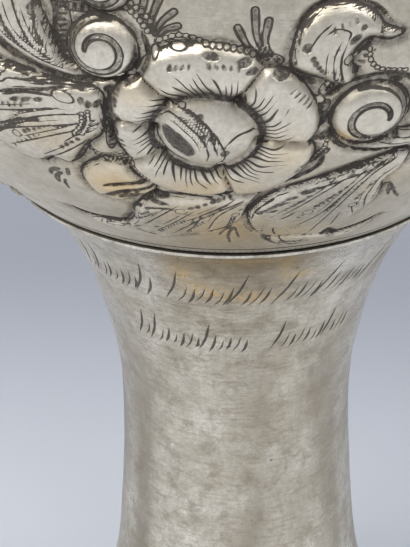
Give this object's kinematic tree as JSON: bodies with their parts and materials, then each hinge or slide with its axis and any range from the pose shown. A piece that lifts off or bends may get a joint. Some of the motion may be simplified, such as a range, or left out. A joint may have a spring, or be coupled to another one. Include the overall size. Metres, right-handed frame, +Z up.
{
  "type": "footed silver cup",
  "caption": "Footed silver cup: a round bowl with a raised band of flowers, scrolls and leaves, a plain everted lip, and a tall waisted foot that spreads to a stepped edge.",
  "frame": {"origin": "centre of the standing ring, on the surface that the cup stands on", "axes": "+Z up along the cup's axis, -Y towards the front of the cup, +X to its right seen from the front"},
  "size_m": [0.125, 0.1248, 0.2095],
  "materials": {
    "chased_silver": "worn silver, dark in the chased lines",
    "plain_silver": "worn silver, fine scratches and light tarnish"
  },
  "bodies": {
    "root": {"bowl": "chased_silver", "foot": "plain_silver"}
  },
  "joints": []
}
